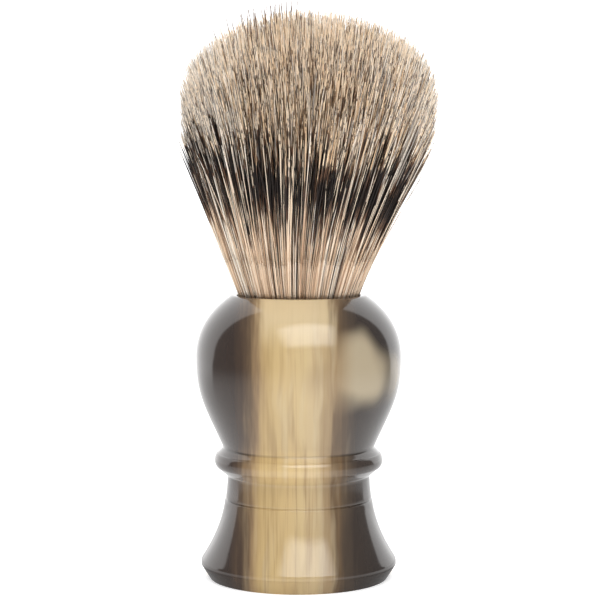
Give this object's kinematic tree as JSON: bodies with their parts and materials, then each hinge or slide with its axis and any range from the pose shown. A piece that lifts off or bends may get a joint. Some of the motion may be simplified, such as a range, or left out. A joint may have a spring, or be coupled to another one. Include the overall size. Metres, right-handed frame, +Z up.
{
  "type": "shaving brush",
  "caption": "Upright shaving brush: turned imitation horn handle with bulb, bead and flared foot, and a domed badger hair knot glued in its socket.",
  "frame": {"origin": "centre of the foot's flat resting face", "axes": "+Z up along the brush's axis of rotation, from the foot to the hair tips; -Y is the side shown to the viewer"},
  "size_m": [0.0468, 0.0468, 0.1035],
  "materials": {
    "imitation_horn": "polished cast resin with vertical blond and dark brown streaks",
    "clear_epoxy": "clear set epoxy",
    "cast_resin": "cast resin with the root ends in it",
    "waxed_thread": "waxed linen thread",
    "root_hair": "tan badger hair near the root",
    "banded_hair": "badger hair with a dark band and pale tips",
    "tip_hair": "pale badger hair tips"
  },
  "bodies": {
    "handle": {"handle": "imitation_horn", "socket_adhesive": "clear_epoxy", "knot_plug": "cast_resin", "binding_thread": "waxed_thread", "hair_roots": "root_hair"},
    "knot_flex": {"hair_flex_zone": "root_hair"},
    "knot_loft": {"hair_core": "tip_hair", "hair_inner_01": "tip_hair", "hair_inner_02": "tip_hair", "hair_inner_03": "tip_hair", "hair_inner_04": "tip_hair", "hair_inner_05": "tip_hair", "hair_inner_06": "tip_hair", "hair_outer_01": "banded_hair", "hair_outer_02": "banded_hair", "hair_outer_03": "banded_hair", "hair_outer_04": "banded_hair", "hair_outer_05": "banded_hair", "hair_outer_06": "banded_hair", "hair_outer_07": "banded_hair", "hair_outer_08": "banded_hair", "hair_outer_09": "banded_hair", "hair_outer_10": "banded_hair", "hair_outer_11": "banded_hair", "hair_outer_12": "banded_hair"}
  },
  "joints": [
    {"name": "knot_lean_x", "type": "hinge", "parent": "handle", "child": "knot_flex", "pos_m": [0, 0, 0.052], "axis": [1, 0, 0], "range_deg": [-25, 25], "stiffness_Nm_per_rad": 0.06, "deforming": ["hair_flex_zone"]},
    {"name": "knot_lean_y", "type": "hinge", "parent": "knot_flex", "child": "knot_loft", "pos_m": [0, 0, 0.052], "axis": [0, 1, 0], "range_deg": [-25, 25], "stiffness_Nm_per_rad": 0.06, "deforming": ["hair_flex_zone"]}
  ]
}
